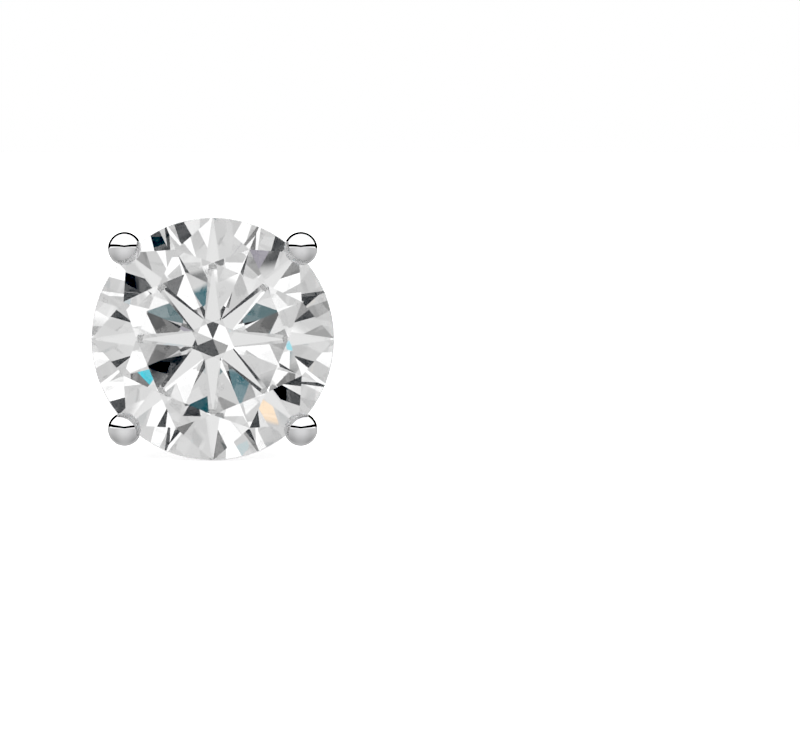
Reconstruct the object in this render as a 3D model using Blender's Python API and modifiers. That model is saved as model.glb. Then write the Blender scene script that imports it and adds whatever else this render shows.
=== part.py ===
"""A solitaire stud earring, lying on a table as it rests when it is not worn.

It has three pieces: a round brilliant stone, a cast four-prong setting with its soldered ear post,
and the friction back that slides on the post.

Every piece is modelled in the stone's own frame and parented to the empty "lying_pose". In that frame
+Z is the way the table facet faces, +Y is up the front view, and the origin is the middle of the girdle.
The empty then lays the earring down on its girdle and on the edge of its friction back.
In the finished frame +Z is up, the table facet faces -Y and slightly up, and the post runs to +Y.
"""

import math

import bmesh
import bpy
from mathutils import Vector
from mathutils.geometry import interpolate_bezier

MM = 0.001

# Stone, a round brilliant
GIRDLE_DIAMETER = 6.5 * MM
TABLE_DIAMETER = 4.00 * MM  # across the table's corners
GIRDLE_THICKNESS = 0.32 * MM  # at the tips of the main facets
CROWN_ANGLE = math.radians(34.1)
PAVILION_ANGLE = math.radians(39.8)
STAR_REACH = 0.44  # how far the star tips lie from the table corners to the girdle
LOWER_HALF_REACH = 0.82  # how far the lower halves run from the girdle to the culet
GIRDLE_SIDES = 64

# Prongs
PRONG_ANGLE = math.radians(45.7)  # of each prong, up or down from the stone's left-right line
PRONG_DIAMETER = 0.76 * MM
PRONG_TIP_DIAMETER = 0.885 * MM
NOTCH_DEPTH = 0.21 * MM  # how far the girdle sits in each prong
TIP_OVERHANG = 0.11 * MM  # from the girdle's edge out to the middle of a tip
TIP_LIFT = 0.17 * MM  # from the girdle's upper edge up to the middle of a tip
SHOULDER_DROP = 0.45 * MM  # from the girdle down to where a prong starts to lean in
PRONG_STEPS = 12
STONE_CLEARANCE = 0.03 * MM

# Gallery rail, base and ear post
RAIL_DIAMETER = 0.56 * MM
RAIL_HEIGHT = 0.42  # where the rail crosses the prongs, as a share of the way up to their shoulders
BASE_DIAMETER = 2.5 * MM
BASE_THICKNESS = 0.50 * MM
BASE_EDGE = 0.10 * MM
BASE_SKIN = 0.04 * MM  # metal left behind the prongs' roots
CULET_GAP = 0.40 * MM  # from the culet down to the base
POST_DIAMETER = 0.84 * MM
POST_LENGTH = 10.0 * MM
POST_TIP_ROUNDING = 0.30 * MM
GROOVE_DEPTH = 0.07 * MM
GROOVE_WIDTH = 0.40 * MM
GROOVE_FROM_END = 1.30 * MM

# Friction back
EAR_GAP = 5.5 * MM  # between the base and the friction back
BACK_WIDTH = 5.4 * MM
BACK_HEIGHT = 4.2 * MM
BACK_CORNER = 1.3 * MM
BACK_THICKNESS = 0.35 * MM
SCROLL_HEIGHT = 2.8 * MM
SCROLL_THICKNESS = 0.30 * MM
SCROLL_CURL = 0.55  # radius of a scroll's inner curl, as a share of its outer one
HOLE_CLEARANCE = 0.05 * MM
GRIP_CLEARANCE = 0.03 * MM

# Worked out from the sizes above
GIRDLE_RADIUS = GIRDLE_DIAMETER / 2
TABLE_RADIUS = TABLE_DIAMETER / 2
GIRDLE_TOP = GIRDLE_THICKNESS / 2
GIRDLE_FOOT = -GIRDLE_TOP
PRONG_RADIUS = PRONG_DIAMETER / 2
POST_RADIUS = POST_DIAMETER / 2
BASE_TOP = GIRDLE_FOOT - GIRDLE_RADIUS * math.tan(PAVILION_ANGLE) - CULET_GAP
BASE_FOOT = BASE_TOP - BASE_THICKNESS
POST_END = BASE_FOOT - POST_LENGTH
BACK_FRONT = BASE_FOOT - EAR_GAP
BACK_REAR = BACK_FRONT - BACK_THICKNESS

MAINS = 8
MAIN_STEP = 2 * math.pi / MAINS
ON_PLANE = 1e-6  # a corner this near a facet's plane lies on it


def shown_collection():
    parts = bpy.data.collections.new("stud_earring")
    bpy.context.scene.collection.children.link(parts)
    return parts


def tool_collection():
    tools = bpy.data.collections.new("tools")
    bpy.context.scene.collection.children.link(tools)
    tools.hide_render = True
    return tools


def add_object(name, data, collection):
    made = bpy.data.objects.new(name, data)
    collection.objects.link(made)
    return made


def add_tool(name, data, tools):
    tool = add_object(name, data, tools)
    tool.hide_render = True
    tool.display_type = "WIRE"
    return tool


def mesh_from(fill):
    """A mesh made by fill, a function that draws into an empty bmesh."""
    bm = bmesh.new()
    fill(bm)
    bmesh.ops.recalc_face_normals(bm, faces=bm.faces)
    mesh = bpy.data.meshes.new("mesh")
    bm.to_mesh(mesh)
    bm.free()
    return mesh


def as_mesh(source):
    """The evaluated shape of a tool object as a welded mesh. The tool object is removed."""
    graph = bpy.context.evaluated_depsgraph_get()
    mesh = bpy.data.meshes.new_from_object(source.evaluated_get(graph))
    mesh.transform(source.matrix_world)
    bpy.data.objects.remove(source)
    bm = bmesh.new()
    bm.from_mesh(mesh)
    bmesh.ops.remove_doubles(bm, verts=bm.verts, dist=ON_PLANE)
    bmesh.ops.recalc_face_normals(bm, faces=bm.faces)
    bm.to_mesh(mesh)
    bm.free()
    return mesh


def material(name, colour, roughness, metallic, transmission=0.0, ior=1.5):
    made = bpy.data.materials.new(name)
    made.use_nodes = True
    shader = made.node_tree.nodes["Principled BSDF"]
    shader.inputs["Base Color"].default_value = (*colour, 1.0)
    shader.inputs["Roughness"].default_value = roughness
    shader.inputs["Metallic"].default_value = metallic
    shader.inputs["Transmission Weight"].default_value = transmission
    shader.inputs["IOR"].default_value = ior
    return made


def boolean(target, operation, collection):
    cut = target.modifiers.new(operation.lower(), "BOOLEAN")
    cut.operation = operation
    cut.operand_type = "COLLECTION"
    cut.collection = collection
    cut.solver = "EXACT"


def cut_facet(bm, azimuth, reach, height, slope, grow):
    """Cuts one facet. Its plane holds the point at reach and height in the azimuth's direction."""
    normal = Vector(
        (math.sin(slope) * math.cos(azimuth), math.sin(slope) * math.sin(azimuth), math.cos(slope))
    )
    point = Vector((reach * math.cos(azimuth), reach * math.sin(azimuth), height)) + grow * normal
    cut = bmesh.ops.bisect_plane(
        bm,
        geom=bm.verts[:] + bm.edges[:] + bm.faces[:],
        dist=ON_PLANE,
        plane_co=point,
        plane_no=normal,
        clear_outer=True,
    )
    edges = [part for part in cut["geom_cut"] if isinstance(part, bmesh.types.BMEdge)]
    bmesh.ops.holes_fill(bm, edges=edges)


def cut_brilliant(bm, grow=0.0):
    """Cuts a round brilliant from a cylinder: 8 mains, 8 stars and 16 halves above, 8 and 16 below."""
    half_step = MAIN_STEP / 2
    quarter_step = MAIN_STEP / 4
    star_tip = TABLE_RADIUS + STAR_REACH * (GIRDLE_RADIUS - TABLE_RADIUS)
    keel_tip = (1 - LOWER_HALF_REACH) * GIRDLE_RADIUS
    table_rise = (GIRDLE_RADIUS - TABLE_RADIUS) * math.tan(CROWN_ANGLE)
    star_rise = (GIRDLE_RADIUS - star_tip * math.cos(half_step)) * math.tan(CROWN_ANGLE)
    keel_drop = (GIRDLE_RADIUS - keel_tip * math.cos(half_step)) * math.tan(PAVILION_ANGLE)
    table_edge = TABLE_RADIUS * math.cos(half_step)
    half_reach = GIRDLE_RADIUS * math.cos(quarter_step)
    star_angle = math.atan2(table_rise - star_rise, star_tip - table_edge)
    upper_angle = math.atan2(star_rise, (GIRDLE_RADIUS - star_tip) * math.cos(quarter_step))
    lower_angle = math.atan2(keel_drop, (GIRDLE_RADIUS - keel_tip) * math.cos(quarter_step))

    table_height = GIRDLE_TOP + table_rise
    bmesh.ops.create_cone(
        bm,
        cap_ends=True,
        segments=GIRDLE_SIDES,
        radius1=GIRDLE_RADIUS + grow,
        radius2=GIRDLE_RADIUS + grow,
        depth=2 * GIRDLE_DIAMETER,
    )
    for i in range(MAINS):
        main = i * MAIN_STEP
        star = main + half_step
        cut_facet(bm, main, GIRDLE_RADIUS, GIRDLE_TOP, CROWN_ANGLE, grow)
        cut_facet(bm, main, GIRDLE_RADIUS, GIRDLE_FOOT, math.pi - PAVILION_ANGLE, grow)
        cut_facet(bm, star, table_edge, table_height, star_angle, grow)
        for side in (-quarter_step, quarter_step):
            cut_facet(bm, main + side, half_reach, GIRDLE_TOP, upper_angle, grow)
            cut_facet(bm, main + side, half_reach, GIRDLE_FOOT, math.pi - lower_angle, grow)
    cut_facet(bm, 0.0, 0.0, table_height, 0.0, grow)


def brilliant_stone(parts):
    stone = add_object("brilliant_stone", mesh_from(cut_brilliant), parts)
    stone.data.materials.append(material("diamond", (0.98, 0.99, 1.0), 0.0, 0.0, 1.0, 2.417))
    return stone


def prong_path():
    """The middle of one prong, from inside the base to its tip, as (distance from the axis, height)."""
    wire_at_girdle = GIRDLE_RADIUS + PRONG_RADIUS - NOTCH_DEPTH
    start = Vector((BASE_DIAMETER / 4, BASE_FOOT + PRONG_RADIUS + BASE_SKIN, 0))
    end = Vector((wire_at_girdle, GIRDLE_FOOT - SHOULDER_DROP, 0))
    across, up = end.x - start.x, end.y - start.y
    start_handle = start + Vector((0.35 * across, 0.10 * up, 0))
    end_handle = end - Vector((0.17 * across, 0.38 * up, 0))
    points = interpolate_bezier(start, start_handle, end_handle, end, PRONG_STEPS)
    at_girdle = Vector((wire_at_girdle, GIRDLE_FOOT, 0))
    tip = Vector((GIRDLE_RADIUS + TIP_OVERHANG, GIRDLE_TOP + TIP_LIFT, 0))
    return points + [at_girdle, tip]


def turned_about(azimuth, point):
    """A point of prong_path, turned to a prong's azimuth."""
    return Vector((point.x * math.cos(azimuth), point.x * math.sin(azimuth), point.y))


def prong(azimuth, path, tools):
    """One prong wire and its ball tip, as two tool objects that a union joins."""
    line = bpy.data.curves.new("prong", "CURVE")
    line.dimensions = "3D"
    line.bevel_depth = PRONG_RADIUS
    line.bevel_resolution = 6
    line.use_fill_caps = True
    spline = line.splines.new("POLY")
    spline.points.add(len(path) - 1)
    for slot, point in zip(spline.points, path):
        slot.co = (*turned_about(azimuth, point), 1.0)
    add_tool("prong_wire", as_mesh(add_tool("prong_curve", line, tools)), tools)

    ball = bmesh.new()
    bmesh.ops.create_uvsphere(ball, u_segments=24, v_segments=14, radius=PRONG_TIP_DIAMETER / 2)
    bmesh.ops.translate(ball, verts=ball.verts, vec=turned_about(azimuth, path[-1]))
    tip = bpy.data.meshes.new("prong_tip")
    ball.to_mesh(tip)
    ball.free()
    add_tool("prong_tip", tip, tools)


def gallery_rail(path, tools):
    """The ring that ties the prongs together below the stone. It runs through the middle of each."""
    root, shoulder = path[0].y, path[PRONG_STEPS - 1].y
    height = root + RAIL_HEIGHT * (shoulder - root)
    below = max(i for i in range(PRONG_STEPS - 1) if path[i].y <= height)
    low, high = path[below], path[below + 1]
    crossing = low.lerp(high, (height - low.y) / (high.y - low.y))
    bpy.ops.mesh.primitive_torus_add(
        major_radius=crossing.x,
        minor_radius=RAIL_DIAMETER / 2,
        major_segments=48,
        minor_segments=12,
        location=(0, 0, crossing.y),
    )
    ring = bpy.context.object
    add_tool("gallery_rail", as_mesh(ring), tools)


def base_and_post():
    """The base disc and the ear post behind it, turned in one profile from the stone's side down."""
    base = BASE_DIAMETER / 2
    groove_foot = POST_END + GROOVE_FROM_END
    groove_top = groove_foot + GROOVE_WIDTH
    groove = POST_RADIUS - GROOVE_DEPTH
    ramp = GROOVE_DEPTH
    profile = [
        (0, BASE_TOP),
        (base - BASE_EDGE, BASE_TOP),
        (base, BASE_TOP - BASE_EDGE),
        (base, BASE_FOOT + BASE_EDGE),
        (base - BASE_EDGE, BASE_FOOT),
        (POST_RADIUS, BASE_FOOT),
        (POST_RADIUS, groove_top + ramp),
        (groove, groove_top),
        (groove, groove_foot),
        (POST_RADIUS, groove_foot - ramp),
    ]
    steps = 5
    for i in range(steps + 1):
        turn = i / steps * math.pi / 2
        inset = POST_TIP_ROUNDING * (1 - math.cos(turn))
        drop = POST_TIP_ROUNDING * (1 - math.sin(turn))
        profile.append((POST_RADIUS - inset, POST_END + drop))
    profile.append((0, POST_END))
    mesh = bpy.data.meshes.new("base_and_post")
    edges = [(i, i + 1) for i in range(len(profile) - 1)]
    mesh.from_pydata([(r, 0, z) for r, z in profile], edges, [])
    return mesh


def four_prong_setting(parts, tools):
    """The cast head and its soldered post. The stone's seat is cut with STONE_CLEARANCE to spare."""
    setting = add_object("four_prong_setting", base_and_post(), parts)
    screw = setting.modifiers.new("turned", "SCREW")
    screw.steps = screw.render_steps = 32
    screw.use_merge_vertices = True
    screw.merge_threshold = ON_PLANE

    joined = bpy.data.collections.new("setting_members")
    tools.children.link(joined)
    path = prong_path()
    for straight in (0.0, math.pi):
        for azimuth in (straight + PRONG_ANGLE, straight - PRONG_ANGLE):
            prong(azimuth, path, joined)
    gallery_rail(path, joined)
    boolean(setting, "UNION", joined)

    seats = bpy.data.collections.new("stone_seat")
    tools.children.link(seats)
    add_tool("seat_cutter", mesh_from(lambda bm: cut_brilliant(bm, STONE_CLEARANCE)), seats)
    boolean(setting, "DIFFERENCE", seats)
    setting.data.materials.append(material("white_gold", (0.84, 0.84, 0.85), 0.08, 1.0))
    return setting


def rounded_rectangle(width, height, corner, steps=6):
    points = []
    for quarter, (sx, sy) in enumerate(((1, 1), (-1, 1), (-1, -1), (1, -1))):
        centre = Vector((sx * (width / 2 - corner), sy * (height / 2 - corner)))
        for i in range(steps + 1):
            turn = (quarter + i / steps) * math.pi / 2
            points.append(centre + corner * Vector((math.cos(turn), math.sin(turn))))
    return points


def circle(radius, sides=32):
    turns = [2 * math.pi * i / sides for i in range(sides)]
    return [radius * Vector((math.cos(turn), math.sin(turn))) for turn in turns]


def back_plate(tools):
    """The friction back's plate, with the post's hole through it."""
    outline = bpy.data.curves.new("back_plate", "CURVE")
    outline.dimensions = "2D"
    outline.fill_mode = "BOTH"
    outline.extrude = BACK_THICKNESS / 2
    for ring in (
        rounded_rectangle(BACK_WIDTH, BACK_HEIGHT, BACK_CORNER),
        circle(POST_RADIUS + HOLE_CLEARANCE),
    ):
        spline = outline.splines.new("POLY")
        spline.use_cyclic_u = True
        spline.points.add(len(ring) - 1)
        for slot, point in zip(spline.points, ring):
            slot.co = (point.x, point.y, 0.0, 1.0)
    flat = add_tool("plate_outline", outline, tools)
    flat.location.z = (BACK_FRONT + BACK_REAR) / 2
    bpy.context.view_layer.update()
    return as_mesh(flat)


def arc(centre, radius, start, end, steps):
    turns = [start + (end - start) * i / steps for i in range(steps + 1)]
    return [(centre[0] + radius * math.cos(a), centre[1] + radius * math.sin(a)) for a in turns]


def scroll(side, tools):
    """One scroll of sheet metal. It leaves the plate's end, rolls back to the post and curls inside."""
    half = SCROLL_THICKNESS / 2
    inner = POST_RADIUS + GRIP_CLEARANCE + half
    outer = BACK_WIDTH / 2 - half
    radius = (outer - inner) / 2
    top = BACK_REAR + half
    centre = (inner + radius, top - radius)
    curl = SCROLL_CURL * radius
    line = arc(centre, radius, math.radians(90), math.radians(-180), 24)
    line += arc((inner + curl, centre[1]), curl, math.radians(180), math.radians(20), 12)[1:]

    bm = bmesh.new()
    edge = [bm.verts.new((side * x, -SCROLL_HEIGHT / 2, z)) for x, z in line]
    rims = [bm.edges.new(pair) for pair in zip(edge, edge[1:])]
    swept = bmesh.ops.extrude_edge_only(bm, edges=rims)
    raised = [part for part in swept["geom"] if isinstance(part, bmesh.types.BMVert)]
    bmesh.ops.translate(bm, verts=raised, vec=(0, SCROLL_HEIGHT, 0))
    strip = bpy.data.meshes.new("scroll_strip")
    bm.to_mesh(strip)
    bm.free()
    sheet = add_tool("scroll_sheet", strip, tools)
    wall = sheet.modifiers.new("wall", "SOLIDIFY")
    wall.thickness = SCROLL_THICKNESS
    wall.offset = 0.0
    bpy.context.view_layer.update()
    add_tool("scroll", as_mesh(sheet), tools)


def friction_back(parts, tools):
    """The nut that grips the post behind the ear, stamped and rolled from one sheet."""
    scrolls = bpy.data.collections.new("scrolls")
    tools.children.link(scrolls)
    back = add_object("friction_back", back_plate(tools), parts)
    for side in (-1, 1):
        scroll(side, scrolls)
    boolean(back, "UNION", scrolls)
    back.data.materials.append(material("white_gold_back", (0.84, 0.84, 0.85), 0.10, 1.0))
    return back


def lying_tilt():
    """How far the table facet leans up from facing straight ahead, when the earring lies down.

    The girdle's foot touches the table top. Behind it, the part of the earring that comes down first
    is either the rear edge of the friction back's plate or the end of the post.
    """
    behind = (
        (BACK_HEIGHT / 2, BACK_REAR),
        (POST_RADIUS, POST_END),
    )
    return min(
        math.atan2(GIRDLE_RADIUS - below, GIRDLE_FOOT - height) for below, height in behind
    )


def bounds(objects):
    """Lowest and highest corner of the finished objects, in the finished frame."""
    bpy.context.view_layer.update()
    graph = bpy.context.evaluated_depsgraph_get()
    corners = [
        shape.matrix_world @ vertex.co
        for shape in (item.evaluated_get(graph) for item in objects)
        for vertex in shape.data.vertices
    ]
    low = Vector(min(corner[axis] for corner in corners) for axis in range(3))
    high = Vector(max(corner[axis] for corner in corners) for axis in range(3))
    return low, high


def lay_down(pieces, parts):
    """Lays the pieces on z = 0, with the middle of their box over the origin. Their tools go with them."""
    pose = add_object("lying_pose", None, parts)
    pose.rotation_euler.x = math.pi / 2 - lying_tilt()
    for item in bpy.data.objects:
        if item != pose:
            item.parent = pose
    low, high = bounds(pieces)
    pose.location = (0.0, -(low.y + high.y) / 2, -low.z)


def main():
    for item in list(bpy.data.objects):
        bpy.data.objects.remove(item)
    parts = shown_collection()
    tools = tool_collection()
    pieces = [
        brilliant_stone(parts),
        four_prong_setting(parts, tools),
        friction_back(parts, tools),
    ]
    for piece in pieces[1:]:
        piece.data.shade_smooth()
        piece.data.set_sharp_from_angle(angle=math.radians(35))
    lay_down(pieces, parts)


main()
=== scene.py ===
import math

import bpy
import numpy as np
from mathutils import Matrix, Vector


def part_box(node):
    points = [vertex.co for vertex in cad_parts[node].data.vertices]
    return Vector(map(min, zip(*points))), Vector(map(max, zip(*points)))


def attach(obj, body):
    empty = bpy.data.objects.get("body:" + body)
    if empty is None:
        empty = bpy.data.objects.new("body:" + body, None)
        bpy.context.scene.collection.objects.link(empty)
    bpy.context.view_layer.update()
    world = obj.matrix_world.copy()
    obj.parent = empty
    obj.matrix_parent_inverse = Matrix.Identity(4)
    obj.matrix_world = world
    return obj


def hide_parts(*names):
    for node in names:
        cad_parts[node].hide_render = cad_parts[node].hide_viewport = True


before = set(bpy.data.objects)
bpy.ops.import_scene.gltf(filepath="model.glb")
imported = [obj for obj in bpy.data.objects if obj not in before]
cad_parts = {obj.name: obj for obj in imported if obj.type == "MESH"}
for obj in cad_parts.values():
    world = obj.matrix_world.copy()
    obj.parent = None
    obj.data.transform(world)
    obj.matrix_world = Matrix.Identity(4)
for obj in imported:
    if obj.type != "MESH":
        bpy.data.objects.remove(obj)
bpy.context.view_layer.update()
print("frame loaded:", sorted(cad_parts))

mm = 0.001
degree = math.pi / 180

# The stone's cut, as in the part's source. Everything else is fitted round it.
cut = {
    "girdle": 6.5 * mm,
    "table": 4.0 * mm,  # across the corners
    "band": 0.32 * mm,  # girdle thickness at the tips of the mains
    "crown": 34.1 * degree,
    "pavilion": 39.8 * degree,
    "starReach": 0.44,
    "lowerReach": 0.82,
    "clearance": 0.03 * mm,  # left free between the stone and its seat
}
girdleRadius = cut["girdle"] / 2
tableRadius = cut["table"] / 2
bandTop = cut["band"] / 2
culetDepth = bandTop + girdleRadius * math.tan(cut["pavilion"])

# How the earring lies: tipped so that the table facet looks along -Y and a little up
lying = {
    "plateHalf": 2.1 * mm,  # half the friction back's height
    "plateRear": 9.6178 * mm,  # from the middle of the girdle back to the plate's rear face
}
tipped = math.atan2(girdleRadius - lying["plateHalf"], lying["plateRear"] - bandTop)
rightWay = np.array([1.0, 0.0, 0.0])
upWay = np.array([0.0, math.sin(tipped), math.cos(tipped)])
outWay = np.array([0.0, -math.cos(tipped), math.sin(tipped)])
stoneLow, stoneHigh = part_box("brilliant_stone")
girdleMiddle = np.array([
    (stoneLow.x + stoneHigh.x) / 2,
    stoneHigh.y - culetDepth * math.cos(tipped),  # the culet is the stone's rearmost point
    girdleRadius * math.cos(tipped) + bandTop * math.sin(tipped),  # the girdle stands on the table top
])


def laidDown(points):
    # From the stone's own frame (x right, y up, z out of the table facet) to the frame on the table top
    return girdleMiddle + points[..., :1] * rightWay + points[..., 1:2] * upWay + points[..., 2:] * outWay


# Surfaces

def gridShell(points, closeRows=False, startPole=None, endPole=None):
    # A grid of rows x columns x 3 whose columns close on themselves. Rows run along the shape.
    # Either the rows close too, as on a ring, or each end closes on one pole point.
    rows, columns = points.shape[:2]
    row, column = np.meshgrid(np.arange(rows if closeRows else rows - 1), np.arange(columns), indexing="ij")
    below, beside = (row + 1) % rows, (column + 1) % columns
    quads = np.stack([
        row * columns + column, row * columns + beside, below * columns + beside, below * columns + column,
    ], axis=-1).reshape(-1, 4)
    vertices = points.reshape(-1, 3)
    fans = []
    ring = np.arange(columns)
    for pole, first, turned in ((startPole, 0, True), (endPole, (rows - 1) * columns, False)):
        if pole is not None:
            middle = np.full(columns, len(vertices))
            sides = (first + (ring + 1) % columns, first + ring)
            fans.append(np.stack([middle, *(sides if turned else sides[::-1])], axis=-1))
            vertices = np.vstack([vertices, pole])
    corners = [quads[:, (0, 1, 2)], quads[:, (0, 2, 3)], *fans]
    a, b, c = (vertices[np.concatenate(corners)[:, i]] for i in range(3))
    inside = (np.cross(a, b) * c).sum() < 0  # the signed volume tells which way the faces look
    faces = [face[:, ::-1] if inside else face for face in (quads, *fans)]
    return vertices, [face.tolist() for face in faces]


def makePiece(name, shells, material, node, sharp=35):
    vertices, faces, count = [], [], 0
    for shellVertices, groups in shells:
        vertices.append(shellVertices)
        faces += [[corner + count for corner in face] for group in groups for face in group]
        count += len(shellVertices)
    mesh = bpy.data.meshes.new(name)
    mesh.from_pydata(laidDown(np.vstack(vertices)).tolist(), [], faces)
    mesh.shade_smooth()
    mesh.set_sharp_from_angle(angle=sharp * degree)
    piece = bpy.data.objects.new(name, mesh)
    bpy.context.scene.collection.objects.link(piece)
    mesh.materials.append(material)
    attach(piece, "root")
    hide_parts(node)
    piece.visible_transmission = False  # the photo's facets show none of the metal behind them
    return piece


def rounded(profile, radii, steps=7):
    # Each corner becomes a quadratic curve that starts and ends radius away from it on its two sides
    corners = np.array(profile, float)
    before = corners - np.roll(corners, 1, axis=0)
    after = np.roll(corners, -1, axis=0) - corners
    before /= np.linalg.norm(before, axis=1, keepdims=True)
    after /= np.linalg.norm(after, axis=1, keepdims=True)
    reach = np.array(radii, float)[:, None, None]
    t = np.linspace(0, 1, steps)[None, :, None]
    middle = corners[:, None]
    start, end = middle - before[:, None] * reach, middle + after[:, None] * reach
    return ((1 - t) ** 2 * start + 2 * t * (1 - t) * middle + t ** 2 * end).reshape(-1, 2)


def turnedShell(profile, columns=72):
    # A profile of (radius, height) turned about the stone's axis, from its pole at one end to the other
    angle = np.arange(columns) / columns * 2 * math.pi
    inner = profile[1:-1]
    points = np.stack([
        inner[:, :1] * np.cos(angle), inner[:, :1] * np.sin(angle), np.repeat(inner[:, 1:], columns, axis=1),
    ], axis=-1)
    poles = [np.array([0, 0, end[1]]) for end in (profile[0], profile[-1])]
    return gridShell(points, startPole=poles[0], endPole=poles[1])


# Materials

class Link:
    # One output of a shader node, so that shader maths reads as Python

    def __init__(self, graph, socket):
        self.graph, self.socket = graph, socket

    def maths(self, operation, *values):
        return self.graph.node("Math", {"operation": operation}, dict(enumerate(values)))

    def __add__(self, other):
        return self.maths("ADD", self, other)

    def __sub__(self, other):
        return self.maths("SUBTRACT", self, other)

    def __rsub__(self, other):
        return self.maths("SUBTRACT", other, self)

    def __mul__(self, other):
        return self.maths("MULTIPLY", self, other)

    def __truediv__(self, other):
        return self.maths("DIVIDE", self, other)

    def __pow__(self, other):
        return self.maths("POWER", self, other)

    def __abs__(self):
        return self.maths("ABSOLUTE", self)

    __radd__, __rmul__ = __add__, __mul__

    def between(self, low, high):
        # Rises smoothly from 0 at low to 1 at high
        values = {"Value": self, "From Min": low, "From Max": high}
        return self.graph.node("MapRange", {"interpolation_type": "SMOOTHSTEP"}, values)

    def dot(self, way):
        return self.graph.node("VectorMath", {"operation": "DOT_PRODUCT"}, {0: self, 1: way}, out="Value")


class Graph:
    # The node tree of a material or of the world

    def __init__(self, owner):
        owner.use_nodes = True
        self.tree = owner.node_tree
        self.tree.nodes.clear()

    def node(self, kind, settings=None, values=None, out=0):
        made = self.tree.nodes.new("ShaderNode" + kind)
        for name, value in (settings or {}).items():
            if name == "stops":
                ramp = made.color_ramp
                while len(ramp.elements) < len(value):
                    ramp.elements.new(0.5)
                for element, (place, colour) in zip(ramp.elements, value):
                    element.position, element.color = place, (*colour, 1.0)
            else:
                setattr(made, name, value)
        for name, value in (values or {}).items():
            if isinstance(value, Link):
                self.tree.links.new(value.socket, made.inputs[name])
            else:
                made.inputs[name].default_value = value
        return Link(self, made.outputs[out]) if len(made.outputs) else made

    def mixed(self, factor, low, high):
        # A mix of two colours
        values = {"Factor": factor, 6: low, 7: high}
        return self.node("Mix", {"data_type": "RGBA"}, values, out=2)


def grey(value):
    return (value, value, value, 1.0)


def whiteGold(name, haze=0.045, grain=1.0):
    # Polished white gold: rhodium-bright, with a very fine wheel grain and a faint haze in patches
    metal = bpy.data.materials.new(name)
    graph = Graph(metal)
    place = graph.node("TexCoord", out="Object")
    patches = graph.node("TexNoise", {}, {"Vector": place, "Scale": 900.0, "Detail": 4.0, "Roughness": 0.55})
    turned = graph.node("Mapping", {}, {
        "Vector": place, "Rotation": (0.4, 0.9, 0.2), "Scale": (9000.0, 60000.0, 9000.0)})
    wheel = graph.node("TexNoise", {}, {"Vector": turned, "Scale": 1.0, "Detail": 3.0})
    colour = graph.mixed(patches.between(0.35, 0.7), (0.80, 0.80, 0.81, 1), (0.86, 0.86, 0.865, 1))
    shine = patches.between(0.4, 0.75) * 0.03 + wheel * 0.012 + haze
    bump = graph.node("Bump", {}, {"Strength": 0.05 * grain, "Distance": 0.002 * mm, "Height": wheel})
    shader = graph.node("BsdfPrincipled", {}, {
        "Base Color": colour, "Metallic": 1.0, "Roughness": shine, "Normal": bump})
    graph.node("OutputMaterial", {}, {"Surface": shader})
    return metal


def diamond(name):
    # Clear stone. Facets are polished, and the girdle between them is ground to a fine frost.
    clear = bpy.data.materials.new(name)
    graph = Graph(clear)
    place = graph.node("TexCoord", out="Object")
    level = place.dot(tuple(outWay)) - float(girdleMiddle @ outWay)
    across = place.dot(tuple(rightWay)) - float(girdleMiddle @ rightWay)
    up = place.dot(tuple(upWay)) - float(girdleMiddle @ upWay)
    reach = (across * across + up * up) ** 0.5
    rim = reach.between(girdleRadius * 0.9915, girdleRadius * 0.9935)
    grit = graph.node("TexNoise", {}, {"Vector": place, "Scale": 22000.0, "Detail": 3.0})
    band = rim * (1 - abs(level).between(bandTop * 1.02, bandTop * 1.08))
    shader = graph.node("BsdfPrincipled", {}, {
        "Base Color": grey(1.0), "Metallic": 0.0, "Roughness": band * (grit * 0.3 + 0.2),
        "IOR": 2.417, "Transmission Weight": 1.0})
    graph.node("OutputMaterial", {}, {"Surface": shader})
    return clear


gold = whiteGold("white_gold_polished")
goldBack = whiteGold("white_gold_back", haze=0.07, grain=2.0)
print("materials made")


# Stone

def brilliantPlanes():
    # Every facet as a plane: its outward normal, and its distance from the middle of the girdle.
    # A facet's plane holds the point at reach and height in the azimuth's direction and leans by slope.
    half, quarter = math.pi / 8, math.pi / 16
    starTip = tableRadius + cut["starReach"] * (girdleRadius - tableRadius)
    keelTip = (1 - cut["lowerReach"]) * girdleRadius
    tableRise = (girdleRadius - tableRadius) * math.tan(cut["crown"])
    starRise = (girdleRadius - starTip * math.cos(half)) * math.tan(cut["crown"])
    keelDrop = (girdleRadius - keelTip * math.cos(half)) * math.tan(cut["pavilion"])
    tableEdge, halfReach = tableRadius * math.cos(half), girdleRadius * math.cos(quarter)
    starSlope = math.atan2(tableRise - starRise, starTip - tableEdge)
    upperSlope = math.atan2(starRise, (girdleRadius - starTip) * math.cos(quarter))
    lowerSlope = math.atan2(keelDrop, (girdleRadius - keelTip) * math.cos(quarter))
    mains = np.arange(8) * math.pi / 4
    halves = np.concatenate([mains - quarter, mains + quarter])
    sides = (np.arange(64) + 0.5) * math.pi / 32
    rows = [
        (mains, girdleRadius, bandTop, cut["crown"]),
        (mains, girdleRadius, -bandTop, math.pi - cut["pavilion"]),
        (mains + half, tableEdge, bandTop + tableRise, starSlope),
        (halves, halfReach, bandTop, upperSlope),
        (halves, halfReach, -bandTop, math.pi - lowerSlope),
        (sides, girdleRadius, 0.0, math.pi / 2),
        (np.zeros(1), 0.0, bandTop + tableRise, 0.0),
    ]
    normals = np.concatenate([
        np.stack([math.sin(s) * np.cos(a), math.sin(s) * np.sin(a), np.full(len(a), math.cos(s))], axis=-1)
        for a, _, _, s in rows
    ])
    away = np.concatenate([
        np.full(len(a), reach * math.sin(s) + height * math.cos(s)) for a, reach, height, s in rows
    ])
    return normals, away


facetNormals, facetAway = brilliantPlanes()


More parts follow.
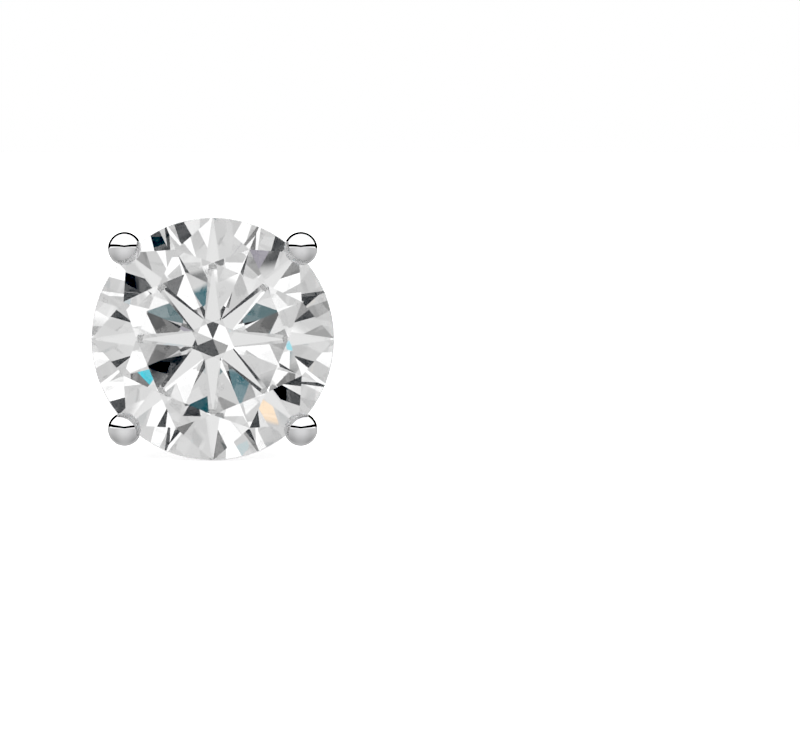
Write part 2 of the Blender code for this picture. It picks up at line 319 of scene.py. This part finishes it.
def clearOfStone(points):
    # Whatever lies inside the stone, grown by the clearance, moves straight out from the stone's middle
    # to that grown surface. A point's share of the way out is its largest ratio over the facet planes.
    share = (points @ facetNormals.T / (facetAway + cut["clearance"])).max(axis=-1, keepdims=True)
    return points / np.clip(share, 1e-6, 1)


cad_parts["brilliant_stone"].material_slots[0].material = diamond("diamond_polished")
print("stone dressed")


# Prongs and their ball tips

prongs = {
    "wire": 0.76 * mm,
    "ball": 0.885 * mm,
    "notch": 0.21 * mm,  # how far the girdle sits in each prong
    "overhang": 0.11 * mm,  # from the girdle's edge out to the middle of a ball
    "lift": 0.17 * mm,  # from the girdle's upper edge up to the middle of a ball
    "shoulderDrop": 0.45 * mm,
    "angle": 45.7 * degree,  # of each prong, up or down from the stone's left-right line
}
prongAngles = [straight + side * prongs["angle"] for straight in (0, math.pi) for side in (1, -1)]
base = {
    "diameter": 2.5 * mm,
    "thickness": 0.5 * mm,
    "edge": 0.10 * mm,
    "culetGap": 0.4 * mm,
    "skin": 0.04 * mm,
    "fillet": 0.12 * mm,
}
baseTop = -culetDepth - base["culetGap"]
baseFoot = baseTop - base["thickness"]
wireRadius, ballRadius = prongs["wire"] / 2, prongs["ball"] / 2


def prongLine(t):
    # The middle of a prong as (distance from the axis, height): a Bezier curve from the base to the
    # shoulder for t from 0 to 1, and then straight up past the girdle to the ball for t from 1 to 2
    atGirdle = girdleRadius + wireRadius - prongs["notch"]
    start = np.array([base["diameter"] / 4, baseFoot + wireRadius + base["skin"]])
    end = np.array([atGirdle, -bandTop - prongs["shoulderDrop"]])
    ball = np.array([girdleRadius + prongs["overhang"], bandTop + prongs["lift"]])
    first = start + (end - start) * (0.35, 0.10)
    second = end - (end - start) * (0.17, 0.38)
    s = np.clip(t, 0, 1)[:, None]
    curve = (1 - s) ** 3 * start + 3 * s * (1 - s) ** 2 * first + 3 * s ** 2 * (1 - s) * second + s ** 3 * end
    return curve + np.clip(t - 1, 0, 1)[:, None] * (ball - end)


def prongShell(azimuth, columns=64):
    # A round wire carried along prongLine. Its radius is the wire's, and then the ball's: the root of
    # ball radius squared less distance to the ball's middle squared. The ball's top is a pole.
    fine = prongLine(np.linspace(0, 2, 801))
    run = np.concatenate([[0], np.cumsum(np.linalg.norm(np.diff(fine, axis=0), axis=1))])
    last = (fine[-1] - fine[-40]) / np.linalg.norm(fine[-1] - fine[-40])
    neck = run[-1] - 0.52 * ballRadius
    turn = np.linspace(math.acos(0.52), math.pi - 0.06, 22)
    along = np.concatenate([np.linspace(0.0, neck, 60)[:-1], run[-1] - ballRadius * np.cos(turn)])
    toBall = along - run[-1]
    onLine = np.stack([np.interp(along, run, fine[:, i]) for i in range(2)], axis=-1)
    middle = onLine + np.clip(toBall, 0, None)[:, None] * last
    way = np.gradient(middle, axis=0)
    way /= np.linalg.norm(way, axis=1, keepdims=True)
    sphere = np.sqrt(np.clip(ballRadius ** 2 - toBall ** 2, 0, None))
    radius = np.where(toBall < -0.52 * ballRadius, wireRadius, sphere)
    angle = np.arange(columns) / columns * 2 * math.pi
    lean = radius[:, None] * np.cos(angle)
    outwards = middle[:, :1] + lean * way[:, 1:]
    height = middle[:, 1:] - lean * way[:, :1]
    aside = radius[:, None] * np.sin(angle)
    points = np.stack([outwards, aside, height], axis=-1)
    poles = [
        np.array([fine[0, 0], 0, fine[0, 1]]),
        np.array([fine[-1, 0] + ballRadius * last[0], 0, fine[-1, 1] + ballRadius * last[1]]),
    ]
    cosine, sine = math.cos(azimuth), math.sin(azimuth)
    turned = np.array([[cosine, sine, 0], [-sine, cosine, 0], [0, 0, 1]])
    return gridShell(clearOfStone(points @ turned), startPole=poles[0] @ turned, endPole=poles[1] @ turned)


prongSet = makePiece("prong_set", [prongShell(angle) for angle in prongAngles], gold, "four_prong_setting")
prongSet.visible_glossy = False  # the stone's front shows no mirror image of the balls
print("prongs made")


# Gallery rail, base disc and ear post

rail = {"diameter": 0.56 * mm, "height": 0.42}  # the height is a share of the way from root to shoulder
post = {
    "diameter": 0.84 * mm,
    "length": 10.0 * mm,
    "tip": 0.30 * mm,
    "grooveDepth": 0.07 * mm,
    "grooveWidth": 0.40 * mm,
    "grooveFromEnd": 1.30 * mm,
}
postRadius = post["diameter"] / 2
postEnd = baseFoot - post["length"]


def railShell(rows=128, columns=32):
    # A ring: a circle of the wire's radius carried round the axis where the prongs' middles cross it
    fine = prongLine(np.linspace(0, 1, 401))
    height = fine[0, 1] + rail["height"] * (fine[-1, 1] - fine[0, 1])
    reach = np.interp(height, fine[:, 1], fine[:, 0])
    around = np.arange(rows)[:, None] / rows * 2 * math.pi
    across = np.arange(columns) / columns * 2 * math.pi
    distance = reach + rail["diameter"] / 2 * np.cos(across)
    level = np.broadcast_to(height + rail["diameter"] / 2 * np.sin(across), (rows, columns))
    return gridShell(
        np.stack([distance * np.cos(around), distance * np.sin(around), level], axis=-1), closeRows=True)


def basePostShell():
    # One profile turned about the axis: disc, solder fillet, post, groove and rounded end
    grooveFoot = postEnd + post["grooveFromEnd"]
    grooveTop = grooveFoot + post["grooveWidth"]
    disc, edge, depth = base["diameter"] / 2, base["edge"], post["grooveDepth"]
    groove = postRadius - depth
    profile = [
        (0, baseTop), (disc, baseTop), (disc, baseFoot), (postRadius, baseFoot),
        (postRadius, grooveTop + depth), (groove, grooveTop), (groove, grooveFoot),
        (postRadius, grooveFoot - depth), (postRadius, postEnd), (0, postEnd),
    ]
    radii = [0, edge, edge, base["fillet"], 0.05 * mm, 0.05 * mm, 0.05 * mm, 0.05 * mm, post["tip"], 0]
    soft = rounded(profile, radii)
    keep = np.concatenate([[True], np.linalg.norm(np.diff(soft, axis=0), axis=1) > 1e-9])
    return turnedShell(soft[keep])


makePiece("gallery_rail", [railShell()], gold, "four_prong_setting")
makePiece("base_and_post", [basePostShell()], gold, "four_prong_setting")
print("rail, base and post made")


# Friction back

back = {
    "earGap": 5.5 * mm,
    "width": 5.4 * mm,
    "height": 4.2 * mm,
    "thickness": 0.35 * mm,
    "hole": 0.05 * mm,  # left free round the post
    "edge": 0.07 * mm,
    "ridgeReach": 0.62,  # a pressed ring, as a share of the way from the hole to the outline
    "ridge": 0.07 * mm,
    "scrollHeight": 2.8 * mm,
    "scrollThickness": 0.30 * mm,
    "scrollCurl": 0.55,
    "grip": 0.03 * mm,
}
backFront = baseFoot - back["earGap"]
backRear = backFront - back["thickness"]


def plateShell(columns=160):
    # Round the hole, a closed section runs from the hole's edge to the outline and back. The outline
    # is the curve on which (x / half width) to the 4th plus (y / half height) to the 4th is 1.
    angle = np.arange(columns) / columns * 2 * math.pi
    outline = ((np.cos(angle) / back["width"] * 2) ** 4 + (np.sin(angle) / back["height"] * 2) ** 4) ** -0.25
    hole = postRadius + back["hole"]
    steps = np.linspace(0, 1, 40)
    ends = [(0, backFront), (1, backFront), (1, backRear), (0, backRear)]
    section = []
    for (share, level), (nextShare, nextLevel) in zip(ends, ends[1:] + ends[:1]):
        count = steps if share != nextShare else steps[::8]
        section.append(np.stack([
            share + (nextShare - share) * count, level + (nextLevel - level) * count,
        ], axis=-1)[:-1])
    section = np.concatenate(section)
    share, level = section[:, :1], section[:, 1:]
    reach = hole + share * (outline - hole)
    pressed = back["ridge"] * np.exp(-((share - back["ridgeReach"]) / 0.09) ** 2)
    height = level + 0 * reach - pressed
    return gridShell(
        np.stack([reach * np.cos(angle), reach * np.sin(angle), height], axis=-1), closeRows=True)


def scrollShell(side, rows=96):
    # A strip's section, a rounded rectangle, carried along two arcs: three quarters of a turn out and
    # back to the post, and then a smaller curl inside
    half = back["scrollThickness"] / 2
    inner, outer = postRadius + back["grip"] + half, back["width"] / 2 - half
    radius = (outer - inner) / 2
    level = backRear + half - radius
    curl = back["scrollCurl"] * radius
    first = np.linspace(90, -180, rows * 2 // 3) * degree
    second = np.linspace(180, 20, rows // 3)[1:] * degree
    line = np.concatenate([
        np.stack([inner + radius + radius * np.cos(first), level + radius * np.sin(first)], axis=-1),
        np.stack([inner + curl + curl * np.cos(second), level + curl * np.sin(second)], axis=-1),
    ])
    way = np.gradient(line, axis=0)
    way /= np.linalg.norm(way, axis=1, keepdims=True)
    tall, corner = back["scrollHeight"] / 2, 0.09 * mm
    section = rounded([(half, tall), (-half, tall), (-half, -tall), (half, -tall)], [corner] * 4)
    across, upright = section[:, 0], np.broadcast_to(section[:, 1], (len(line), len(section)))
    x = line[:, :1] + across * way[:, 1:]
    z = line[:, 1:] - across * way[:, :1]
    poles = [np.array([side * line[end, 0], 0, line[end, 1]]) for end in (0, -1)]
    return gridShell(np.stack([side * x, upright, z], axis=-1), startPole=poles[0], endPole=poles[1])


makePiece("back_plate", [plateShell()], goldBack, "friction_back")
makePiece("back_scrolls", [scrollShell(-1), scrollShell(1)], goldBack, "friction_back")
print("friction back made")


# Studio: soft light panels and dark screens, all round the earring. Places are in degrees away from
# the way that the table facet looks: right and up of it, and half sizes; over 90 is behind the earring.

studio = {
    "upper": 0.72,
    "lower": 0.77,
    "front": 0.10,  # what the stone's front mirrors
    "reach": 2.0,  # how far away the cards hang
    "gap": 0.003,
    "rings": (0.28, 0.56, 0.84, 1.107),  # of a card, as shares of its half size; it fades out over the last
}
white, ink, dim = 1.35, (0.0, 0.005, 0.01), 0.2
broadCards = [
    # right, up, half width, half height, turn, light
    (-28, 10, 26, 16, 0, white),
    (-20, -40, 34, 16, -20, 1.0),
    (22, 36, 14, 8, 0, 1.0),
    (36, 17, 5, 6, 0, white),
    (2, 74, 8, 6, 0, white),
    (0, -71, 6, 3, 0, white),
    (-60, 3, 12, 4, 0, white),
    (0, 0, 5, 5, 0, 0.95),
    (8, -31, 6, 4, 0, white),
    (26.5, 12.5, 4, 4.5, 10, ink),
    (19, 19, 3, 6, 35, ink),
    (26, -4, 2.5, 6, 0, dim),
    (20, -17, 3, 7, -30, ink),
    (26, -23, 6, 3, 0, ink),
    (36, -6, 5, 2.5, 0, dim),
    (44, 10, 5, 3, 0, 0.3),
    (48, -48, 5, 3, -45, 0.3),
    (-32, 39, 5, 3.5, 0, ink),
    (0, 50, 5, 3, 0, ink),
    (0, -50, 5, 3, 0, ink),
    (-86, -17, 5, 4, 0, ink),
]
smallCards = [
    # light, and then for each card: right, up, half width, half height
    (ink, [
        (11, 14, 4, 2.5), (34, 27, 3, 3), (42, 42, 3, 3), (33, -35, 2, 2), (-30, -9, 2.5, 2.5),
        (-30, -20, 2.5, 4), (-2, -60, 3, 5), (-70, -46, 3, 3), (6, 43, 3, 3), (-6, 37, 3, 3),
        (-18, 31, 3, 3), (-24, 35, 3, 3), (-46, 46, 3, 3), (-2, 58, 3, 3), (0, 66, 5, 2.5),
        (-21, -3, 2, 2.5), (-33, -2, 2.5, 2.5), (-29, 24, 2.5, 2), (-40, 29, 3, 2), (39, 28, 2.5, 2),
        (5, 23, 2, 2), (52, -24, 3, 2.6), (56, -29, 3, 2.6), (47, 9, 3, 2.6), (21.6, 5.4, 2, 2),
        (8.2, 2.4, 1.2, 1.2), (-16, -10, 1.4, 1.4), (18.6, -11, 1.5, 1.8), (-16, -22.4, 1.6, 2),
        (-8, -26.8, 1.6, 1.8), (21, -27.6, 1.8, 1.6), (13.2, -21.6, 1.4, 1.6), (-14.2, 25.8, 1.4, 1.2),
        (-6, 25.8, 1.8, 1.6), (11.8, -11.6, 1.4, 1), (-40.4, -2.4, 1.6, 1.2), (59.2, 16.4, 2, 2),
        (56, -18.4, 1.6, 1.4), (33.6, 21.6, 1.5, 1.5), (43.2, 34.8, 1.3, 1.3), (23.6, 52, 1.5, 1.5),
        (33.6, 51.2, 1.3, 1.3), (13.2, 44.8, 2.2, 2.4), (-27.2, 52.8, 1.2, 1.6), (-40, 47.6, 1.6, 1.6),
        (-47.6, 40.8, 1.6, 1.4), (-53.2, 24.8, 2, 1), (1.2, -37.2, 1.3, 1.3), (13.6, -48, 2, 2),
        (8.4, -46.4, 1.8, 1.8), (13.2, -54.8, 2, 1.6), (29.2, -52, 1.8, 1.8), (-27.6, -34.4, 1.5, 1.5),
        (44.8, -23.2, 2, 1.5), (-58.4, -15.6, 1.6, 1.6), (51.2, -9.2, 1.3, 1.3), (35.6, 33, 2, 1.6),
    ]),
    ((0.03, 0.16, 0.2), [
        (17, 7.5, 2.5, 2), (13, -2, 1.6, 2.2), (-6, -38, 2.5, 2.5), (8, 12, 1.2, 1.2),
    ]),
    ((0.13, 0.22, 0.24), [
        (1, 14, 4, 2.2),
    ]),
    (dim, [
        (11, -7, 2.5, 4.5), (-11, 8, 2.2, 2), (-11, -7, 2, 2),
    ]),
    (0.82, [
        (-28, 5, 3, 2), (-18, 1.4, 3, 2.5), (-11, 5.8, 2.4, 1.2), (-22.6, 10.4, 1, 1),
        (-8.8, 12, 1.8, 1.4), (-4.8, 11.4, 1.4, 1.6), (-25, -9, 1.2, 2), (-10.4, -3.8, 1.8, 1),
        (-50, -1.6, 2.4, 2), (-35.2, 24.8, 2.4, 1.8), (-20.8, 12.4, 2, 1.6), (-35.2, -6.8, 2.6, 2),
        (-10.4, -29, 3, 1.4), (-20.8, -28.8, 2.6, 1.4),
    ]),
    (0.4, [
        (10.8, 0.4, 1.2, 1.2), (4.4, 10.4, 1.8, 1.6), (4.6, -27.6, 1.4, 1.4), (15, -26, 1.8, 1.8),
        (4.8, -6.8, 1.3, 1.3), (-42, 42.4, 2.8, 2), (38.8, -26.4, 2, 2), (6.8, -36.8, 2, 1.8),
        (-10, 43, 3, 4),
    ]),
    (white, [
        (52, 39, 3, 2.5), (-20, -11, 2, 1.6), (-17, -17, 2.5, 2), (0, -27, 3, 2),
        (11.8, 19.4, 1.8, 1.6), (-9.2, 7, 1.4, 0.9), (11.2, 8.6, 1.5, 1.2), (14.6, 8.8, 1.2, 1.2),
        (19.2, -3, 1.6, 1), (-21.8, -5, 1.5, 1.2), (-27.6, -8, 1.3, 1.5), (-25, -13.8, 1.3, 1.3),
        (3.2, -18.4, 1.6, 1.6), (21.6, -13.2, 1.3, 1.2), (15.2, -22, 1.2, 1.8), (14.8, -7.6, 1.2, 1.8),
        (-20, -19.2, 2.2, 1.8), (-5.6, -21.2, 1.6, 1.4), (4.8, 28.4, 1.6, 1.8), (1.6, 24.6, 1.1, 1.1),
        (-5.6, 22.8, 1.4, 1.4), (-18.2, 16.6, 1.1, 1.1), (-8.4, -14.4, 1.6, 1.2),
        (-46.8, 4.4, 1.8, 1.2), (-32.4, 0.8, 1.6, 1.3), (-42, -7.6, 3, 2.4), (-34.4, -35.6, 2.2, 1.6),
        (-45.2, -45.6, 2.6, 2.2), (-40.4, -58.4, 2.2, 1.8), (-25.2, -52, 2, 1.8),
        (-19.2, -52.8, 1.8, 1.6), (42.4, -41.6, 2.8, 2.2), (39.2, -57.2, 2.6, 2.2), (47.6, -57.2, 2, 2),
        (48.4, -1.2, 2.8, 2), (36.8, 10.4, 3, 1.6), (55.2, 7.2, 2, 2), (47.2, 15.2, 2, 1.8),
        (42.4, 23.2, 2, 2), (43.2, 29.6, 2.2, 2.2), (19.2, 35.2, 1.8, 1.6), (14, 56, 2.2, 1.8),
        (10.4, 53.6, 2, 1.8), (18.8, 47.6, 1.8, 1.8), (34.8, 44.8, 1.8, 1.6), (58.4, 40, 2.6, 2.2),
        (-19.6, 47.6, 2.2, 2), (-14.4, 56, 1.7, 1.7), (-58.8, 45.6, 2, 1.6), (-37.6, 16.8, 3, 2.4),
        (-47.6, 20.4, 2, 2.2), (-20.8, 34.4, 1.2, 1.8), (-16, 37.6, 2.8, 2.2), (-16, -36.8, 3, 2.4),
        (17.2, -33.6, 1.8, 1.5), (-35.2, -23.2, 2.2, 2), (24.8, -44, 2.2, 2), (22.8, -40, 1.7, 1.6),
        (-43, -42, 3, 3),
    ]),
    (2.2, [
        (18.2, 16.4, 1.2, 1.2), (57, -6, 2, 2), (-27.6, -39.2, 2.2, 2.4), (-18.8, -48, 2, 2.4),
    ]),
    ((0.1, 0.75, 0.9), [
        (16, 5, 1.1, 1.1),
    ]),
    ((0.15, 1.05, 1.25), [
        (35, -43.2, 2.2, 1.8), (-34.5, 52.8, 1.8, 2), (46.5, -14, 2, 1.6),
    ]),
    ((0.6, 0.95, 1.1), [
        (-49, -19, 3, 2.5), (1.4, -23.2, 1.2, 1.2), (31.2, 42.8, 1.2, 1), (15.6, -57.6, 2, 2),
    ]),
    ((1.2, 0.95, 0.7), [
        (14, 11, 0.6, 0.5),
    ]),
    ((1.3, 1.18, 1.0), [
        (-50, 51, 3, 2), (-2, -8, 1.2, 1.2),
    ]),
    (ink, [
        (-3, -14, 1.6, 1.6), (-11, -13, 1.6, 1.4),
    ]),
    ((0.42, 0.4, 0.46), [
        (33, -35, 2, 2), (22, -16, 1.3, 1.6),
    ]),
]
metalStudio = {
    "sky": 1.25,
    "horizon": 10.5,  # degrees up, where the sky starts
    "line": 1.05,  # a bright line just under the horizon
    "table": 0.86,  # below the line
    "low": 0.55,  # straight down
    "aside": 0.75,  # how much of the light below is left far to the sides
    "ring": 0.60,  # low and behind
    "dark": 0.012,
    "band": ((8, 0.08), (19, 0.16)),  # a dark screen's edges: degrees up, and rise to the sides
    "darkFrom": 123,  # degrees away from the way that the table looks
}


def lightStudio():
    world = bpy.data.worlds.new("studio")
    bpy.context.scene.world = world
    graph = Graph(world)
    way = graph.node("TexCoord", out="Generated")
    x, y, z = (way.dot(tuple(axis)) for axis in (rightWay, upWay, outWay))
    fromOut = way.maths("ARCCOSINE", z) / degree
    flat = (x * x + y * y + 1e-9) ** 0.5
    right, up = fromOut * x / flat, fromOut * y / flat

    # the stone's light, besides the cards; what its front mirrors is darker
    light = graph.mixed(up.between(-12, 12), grey(studio["lower"]), grey(studio["upper"]))
    ray = graph.node("LightPath")
    kinds = {name: Link(graph, ray.socket.node.outputs["Is " + name + " Ray"])
             for name in ("Camera", "Singular", "Transmission")}
    light = graph.mixed(kinds["Transmission"], grey(studio["front"]), light)

    # the metal's light
    tones = metalStudio
    below = graph.mixed(up.between(-100, -5), grey(tones["low"]), grey(tones["table"]))
    sides = graph.mixed(abs(right).between(10, 80), grey(1.0), grey(tones["aside"]))
    below = graph.node(
        "Mix", {"data_type": "RGBA", "blend_type": "MULTIPLY"}, {"Factor": 1.0, 6: below, 7: sides}, out=2)
    below = graph.mixed(fromOut.between(126, 134), below, grey(tones["ring"]))
    below = graph.mixed(fromOut.between(152, 160), below, grey(tones["dark"]))
    below = graph.mixed(up.between(tones["horizon"] - 6, tones["horizon"] - 3), below, grey(tones["line"]))
    edge = fromOut.between(tones["darkFrom"] - 2, tones["darkFrom"] + 2)
    above = graph.mixed(edge, grey(tones["sky"]), grey(tones["dark"]))
    metalLight = graph.mixed(up.between(tones["horizon"] - 1, tones["horizon"] + 1), below, above)

    (bottom, bottomRise), (top, topRise) = tones["band"]
    aboveBottom = (up - abs(right) * bottomRise).between(bottom - 0.5, bottom + 0.5)
    belowTop = 1 - (up - abs(right) * topRise).between(top - 0.5, top + 0.5)
    metalLight = graph.mixed(aboveBottom * belowTop, metalLight, grey(tones["dark"]))

    ofStone = kinds["Singular"].maths("MAXIMUM", kinds["Singular"], kinds["Transmission"])
    colour = graph.mixed(ofStone, metalLight, light)
    colour = graph.mixed(kinds["Camera"], colour, grey(1.0))
    shader = graph.node("Background", {}, {"Color": colour, "Strength": 1.0})
    graph.node("OutputWorld", {}, {"Surface": shader})


def addStage(name, vertices, faces, material, unseenBy):
    mesh = bpy.data.meshes.new(name)
    mesh.from_pydata(vertices.tolist(), [], faces)
    mesh.materials.append(material)
    thing = bpy.data.objects.new(name, mesh)
    bpy.context.scene.collection.objects.link(thing)
    for ray in unseenBy:
        setattr(thing, "visible_" + ray, False)
    return mesh


def cardShell(order, right, up, wide, tall, turn):
    # Rings of a rounded rectangle, where (x / half width) to the 4th plus (y / half height) to the 4th is
    # the ring's share to the 4th. Right and up become an angle away from the way out and a clock angle.
    # A later card hangs nearer, in front of the earlier ones.
    around = np.arange(48) / 48 * 2 * math.pi
    edge = (np.cos(around) ** 4 + np.sin(around) ** 4) ** -0.25
    share = np.append(np.array(studio["rings"])[:, None] * edge, np.zeros((1, 48)), axis=0)
    x, y = share * np.cos(around) * wide, share * np.sin(around) * tall
    cosine, sine = math.cos(turn * degree), math.sin(turn * degree)
    x, y = right + x * cosine - y * sine, up + x * sine + y * cosine
    away, clock = np.hypot(x, y) * degree, np.arctan2(y, x)
    points = np.stack([np.sin(away) * np.cos(clock), np.sin(away) * np.sin(clock), np.cos(away)], axis=-1)
    points *= studio["reach"] - order * studio["gap"]
    return gridShell(points[:-1], startPole=points[-1, 0])


def hangCards():
    vertices, faces, colours, count = [], [], [], 0
    cards = broadCards + [(*place, 0, shade) for shade, places in smallCards for place in places]
    for order, (right, up, wide, tall, turn, shade) in enumerate(cards):
        points, groups = cardShell(order, right, up, wide, tall, turn)
        faces += [[corner + count for corner in face] for group in groups for face in group]
        cover = np.ones(len(points))
        cover[48 * (len(studio["rings"]) - 1):48 * len(studio["rings"])] = 0
        colour = shade if isinstance(shade, tuple) else (shade,) * 3
        colours.append(np.column_stack([np.tile(colour, (len(points), 1)), cover]))
        vertices.append(points)
        count += len(points)
    glow = bpy.data.materials.new("card_light")
    graph = Graph(glow)
    light = graph.node("Attribute", {"attribute_name": "light"})
    cover = Link(graph, light.socket.node.outputs["Alpha"]).between(0, 1)
    lit = graph.node("Emission", {}, {"Color": light, "Strength": 1.0})
    clear = graph.node("BsdfTransparent")
    graph.node("OutputMaterial", {}, {"Surface": graph.node("MixShader", {}, {0: cover, 1: clear, 2: lit})})
    glow.cycles.emission_sampling = "NONE"
    mesh = addStage(
        "studio_cards", laidDown(np.vstack(vertices)), faces, glow, ("camera", "diffuse", "glossy", "shadow"))
    mesh.color_attributes.new("light", "FLOAT_COLOR", "POINT").data.foreach_set(
        "color", np.vstack(colours).ravel())


lightStudio()
hangCards()


# Floor: plain and pale, with only a breath of contact shadow
floor = {"half": 0.4, "shade": 0.8, "glow": 0.75}
paper = bpy.data.materials.new("pale_paper")
paperGraph = Graph(paper)
paperDiffuse = paperGraph.node("BsdfDiffuse", {}, {"Color": grey(floor["shade"])})
paperGlow = paperGraph.node("Emission", {}, {"Color": grey(1.0), "Strength": floor["glow"]})
paperGraph.node("OutputMaterial", {}, {
    "Surface": paperGraph.node("AddShader", {}, {0: paperDiffuse, 1: paperGlow})})
floorCorners = np.array([(-1, -1, 0), (1, -1, 0), (1, 1, 0), (-1, 1, 0)]) * floor["half"]
addStage("floor", floorCorners, [(0, 1, 2, 3)], paper, ("glossy", "transmission"))
print("studio made")


# Camera: in front of the stone, with the stone where the photo has it
photo = {
    "width": 800,
    "height": 754,
    "stone": (212.7, 338.9),  # its middle, in pixels from the top left
    "stoneRadius": 121.2,
    "distance": 52.0 * mm,
    "right": 0.18 * degree,  # the lens stands this far right of the stone's axis
    "above": -0.31 * degree,
    "black": 0.05,  # light that prints as black
}


def aimCamera():
    data = bpy.data.cameras.new("camera")
    camera = bpy.data.objects.new("camera", data)
    bpy.context.scene.collection.objects.link(camera)
    bpy.context.scene.camera = camera
    focal = photo["stoneRadius"] / girdleRadius * photo["distance"]
    data.sensor_width, data.lens = 36.0, 36.0 * focal / photo["width"]
    data.clip_start, data.clip_end = 1 * mm, 10.0
    # the lens looks straight at the stone, and its shift puts the stone left of and above the middle
    data.shift_x = (photo["width"] / 2 - photo["stone"][0]) / photo["width"]
    data.shift_y = (photo["stone"][1] - photo["height"] / 2) / photo["width"]
    back = outWay + math.tan(photo["right"]) * rightWay + math.tan(photo["above"]) * upWay
    back /= np.linalg.norm(back)
    aside = np.cross(upWay, back)
    aside /= np.linalg.norm(aside)
    turned = np.column_stack([aside, np.cross(back, aside), back])
    camera.matrix_world = Matrix.LocRotScale(
        Vector(girdleMiddle + photo["distance"] * back), Matrix(turned.tolist()).to_quaternion(), None)


aimCamera()
scene = bpy.context.scene
scene.view_settings.view_transform = "Standard"
bounces = 40  # light turns back and forth many times in the stone
scene.cycles.max_bounces = scene.cycles.transmission_bounces = scene.cycles.glossy_bounces = bounces
scene.cycles.use_denoising = True
grading = scene.view_settings.curve_mapping
scene.view_settings.use_curve_mapping = True
grading.black_level = [photo["black"]] * 3
grading.update()
print("camera placed")
